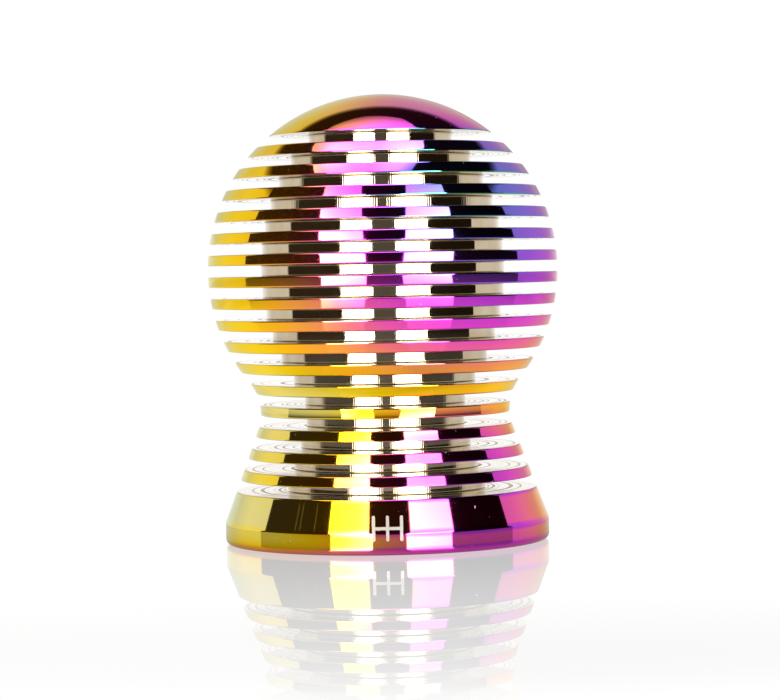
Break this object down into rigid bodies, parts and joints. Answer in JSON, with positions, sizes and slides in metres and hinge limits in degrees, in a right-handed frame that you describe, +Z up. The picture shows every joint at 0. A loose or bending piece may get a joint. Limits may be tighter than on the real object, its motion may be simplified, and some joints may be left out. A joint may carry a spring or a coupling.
{
  "type": "gear shift knob",
  "caption": "Ball-headed gear shift knob turned from steel, with deep cooling grooves between thin round fins, a flared base and a threaded sleeve in its underside.",
  "frame": {"origin": "centre of the underside, on the plane that the base rests on", "axes": "+Z up the turning axis to the top of the ball; the form is round, and -Y is the side that the picture shows"},
  "size_m": [0.05, 0.05, 0.0637],
  "materials": {
    "coated_steel": "mirror-polished rims, cap and base under a rainbow film; groove faces and groove floors bare, fine-turned steel",
    "plain_steel": "turned and threaded, satin"
  },
  "bodies": {
    "root": {"knob_body": "coated_steel", "thread_adapter": "plain_steel"}
  },
  "joints": []
}
